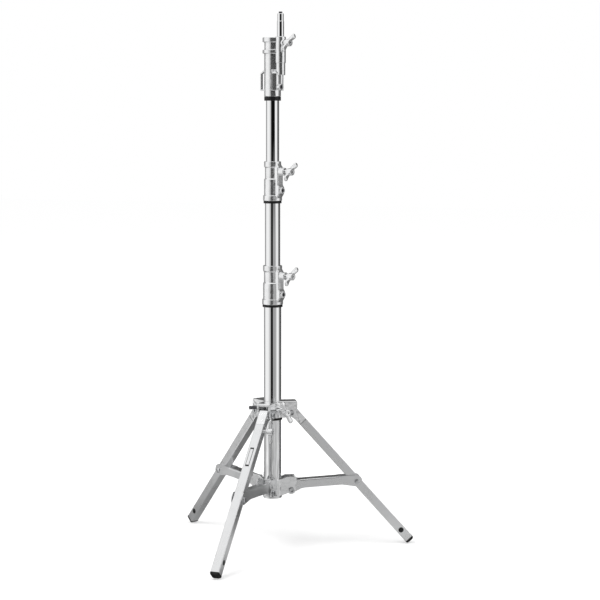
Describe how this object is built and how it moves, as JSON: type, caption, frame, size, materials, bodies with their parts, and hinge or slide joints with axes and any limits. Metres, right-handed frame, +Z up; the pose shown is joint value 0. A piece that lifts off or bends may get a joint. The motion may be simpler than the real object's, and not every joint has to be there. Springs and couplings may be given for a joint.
{
  "type": "telescoping lighting stand",
  "caption": "Telescoping chromed lighting stand with a folding box-section leg base, channel braces, T-handled riser clamps, a junior socket and a side spigot.",
  "frame": {"origin": "centre of the flat underside of the column's end cap, on the column's axis", "axes": "+Z up along the column; the front leg points to -Y, the other two are 120 degrees round"},
  "size_m": [0.59, 0.5118, 1.239],
  "materials": {
    "chrome_tube": "bright chrome plate",
    "cast_chrome": "chromed casting",
    "satin_steel": "satin plated steel",
    "zinc_steel": "zinc plated",
    "dark_steel": "black oxide",
    "brass_pad": "plain",
    "black_plastic": "moulded",
    "black_rubber": "moulded"
  },
  "bodies": {
    "column": {"column_tube": "chrome_tube", "column_end_cap": "satin_steel", "brace_collar": "cast_chrome", "brace_bolt_front": "zinc_steel", "brace_bolt_right": "zinc_steel", "brace_bolt_left": "zinc_steel", "lower_collar": "cast_chrome", "lower_collar_ring": "black_plastic", "lower_pinch_screw": "dark_steel"},
    "leg_collar": {"leg_collar": "cast_chrome", "leg_collar_bush": "black_plastic", "leg_bolt_front": "zinc_steel", "leg_bolt_right": "zinc_steel", "leg_bolt_left": "zinc_steel", "leg_collar_stop_screw": "dark_steel"},
    "leg_lock_pad": {"leg_lock_clamp_pad": "brass_pad"},
    "leg_lock_handle": {"leg_lock_t_handle": "cast_chrome"},
    "middle_riser": {"middle_tube": "chrome_tube", "middle_guide": "black_plastic", "upper_collar": "cast_chrome", "upper_collar_ring": "black_plastic", "upper_pinch_screw": "dark_steel"},
    "lower_pad": {"lower_clamp_pad": "brass_pad"},
    "lower_handle": {"lower_t_handle": "cast_chrome"},
    "top_riser": {"top_tube": "chrome_tube", "top_guide": "black_plastic", "head_casting": "cast_chrome", "head_ring": "black_plastic", "head_pinch_screw": "dark_steel", "spigot": "chrome_tube"},
    "upper_pad": {"upper_clamp_pad": "brass_pad"},
    "upper_handle": {"upper_t_handle": "cast_chrome"},
    "head_pad": {"head_clamp_pad": "brass_pad"},
    "head_handle": {"head_t_handle": "cast_chrome"},
    "leg_handle": {"leg_t_handle": "cast_chrome"},
    "leg_front": {"leg_head_front": "cast_chrome", "leg_tube_front": "satin_steel", "foot_plug_front": "black_rubber", "cross_plug_front": "black_plastic"},
    "brace_front": {"brace_front": "satin_steel", "rivet_front_right": "zinc_steel", "rivet_front_left": "zinc_steel"},
    "leg_right": {"leg_head_right": "cast_chrome", "leg_tube_right": "satin_steel", "foot_plug_right": "black_rubber", "cross_plug_right": "black_plastic"},
    "brace_right": {"brace_right": "satin_steel", "rivet_right_right": "zinc_steel", "rivet_right_left": "zinc_steel"},
    "leg_left": {"leg_head_left": "cast_chrome", "leg_tube_left": "satin_steel", "foot_plug_left": "black_rubber", "cross_plug_left": "black_plastic"},
    "brace_left": {"brace_left": "satin_steel", "rivet_left_right": "zinc_steel", "rivet_left_left": "zinc_steel"}
  },
  "joints": [
    {"name": "leg_collar_slide", "type": "slide", "parent": "column", "child": "leg_collar", "axis": [0, 0, 1], "range_m": [0, 0.2009]},
    {"name": "middle_riser_slide", "type": "slide", "parent": "column", "child": "middle_riser", "axis": [0, 0, 1], "range_m": [-0.142, 0.18]},
    {"name": "top_riser_slide", "type": "slide", "parent": "middle_riser", "child": "top_riser", "axis": [0, 0, 1], "range_m": [-0.137, 0.22]},
    {"name": "leg_fold_front", "type": "hinge", "parent": "leg_collar", "child": "leg_front", "pos_m": [0, -0.042, 0.2004], "axis": [1, 0, 0], "range_deg": [0, 37.65]},
    {"name": "brace_fold_front", "type": "hinge", "parent": "column", "child": "brace_front", "pos_m": [0, -0.042, 0.0192], "axis": [1, 0, 0], "range_deg": [-76.52, 0]},
    {"name": "leg_fold_right", "type": "hinge", "parent": "leg_collar", "child": "leg_right", "pos_m": [0.03637, 0.021, 0.2004], "axis": [-0.5, 0.866, 0], "range_deg": [0, 37.65]},
    {"name": "brace_fold_right", "type": "hinge", "parent": "column", "child": "brace_right", "pos_m": [0.03637, 0.021, 0.0192], "axis": [-0.5, 0.866, 0], "range_deg": [-76.52, 0]},
    {"name": "leg_fold_left", "type": "hinge", "parent": "leg_collar", "child": "leg_left", "pos_m": [-0.03637, 0.021, 0.2004], "axis": [-0.5, -0.866, 0], "range_deg": [0, 37.65]},
    {"name": "brace_fold_left", "type": "hinge", "parent": "column", "child": "brace_left", "pos_m": [-0.03637, 0.021, 0.0192], "axis": [-0.5, -0.866, 0], "range_deg": [-76.52, 0]},
    {"name": "lower_pad_slide", "type": "slide", "parent": "column", "child": "lower_pad", "axis": [0.9511, -0.309, 0], "range_m": [0, 0.00126]},
    {"name": "lower_handle_turn", "type": "hinge", "parent": "lower_pad", "child": "lower_handle", "pos_m": [0.04755, -0.01545, 0.5195], "axis": [0.9511, -0.309, 0], "range_deg": [0, 360]},
    {"name": "upper_pad_slide", "type": "slide", "parent": "middle_riser", "child": "upper_pad", "axis": [0.9511, -0.309, 0], "range_m": [0, 0.00126]},
    {"name": "upper_handle_turn", "type": "hinge", "parent": "upper_pad", "child": "upper_handle", "pos_m": [0.04755, -0.01545, 0.7585], "axis": [0.9511, -0.309, 0], "range_deg": [0, 360]},
    {"name": "head_pad_slide", "type": "slide", "parent": "top_riser", "child": "head_pad", "axis": [0.9511, -0.309, 0], "range_m": [0, 0.00126]},
    {"name": "head_handle_turn", "type": "hinge", "parent": "head_pad", "child": "head_handle", "pos_m": [0.04755, -0.01545, 1.0499], "axis": [0.9511, -0.309, 0], "range_deg": [0, 360]},
    {"name": "leg_lock_pad_slide", "type": "slide", "parent": "leg_collar", "child": "leg_lock_pad", "axis": [0.866, -0.5, 0], "range_m": [0, 0.00126]},
    {"name": "leg_lock_handle_turn", "type": "hinge", "parent": "leg_lock_pad", "child": "leg_lock_handle", "pos_m": [0.0433, -0.025, 0.2059], "axis": [0.866, -0.5, 0], "range_deg": [0, 360]},
    {"name": "leg_handle_turn", "type": "hinge", "parent": "leg_front", "child": "leg_handle", "pos_m": [0.025, -0.07851, 0.16862], "axis": [1, 0, 0], "range_deg": [0, 360]}
  ],
  "couplings": [
    {"joint": "leg_fold_front", "follows": "leg_collar_slide", "rad_per_m": 3.2665},
    {"joint": "brace_fold_front", "follows": "leg_collar_slide", "rad_per_m": -6.643},
    {"joint": "leg_fold_right", "follows": "leg_collar_slide", "rad_per_m": 3.2665},
    {"joint": "brace_fold_right", "follows": "leg_collar_slide", "rad_per_m": -6.643},
    {"joint": "leg_fold_left", "follows": "leg_collar_slide", "rad_per_m": 3.2665},
    {"joint": "brace_fold_left", "follows": "leg_collar_slide", "rad_per_m": -6.643},
    {"joint": "lower_pad_slide", "follows": "lower_handle_turn", "m_per_rad": 0.00019894},
    {"joint": "upper_pad_slide", "follows": "upper_handle_turn", "m_per_rad": 0.00019894},
    {"joint": "head_pad_slide", "follows": "head_handle_turn", "m_per_rad": 0.00019894},
    {"joint": "leg_lock_pad_slide", "follows": "leg_lock_handle_turn", "m_per_rad": 0.00019894}
  ]
}
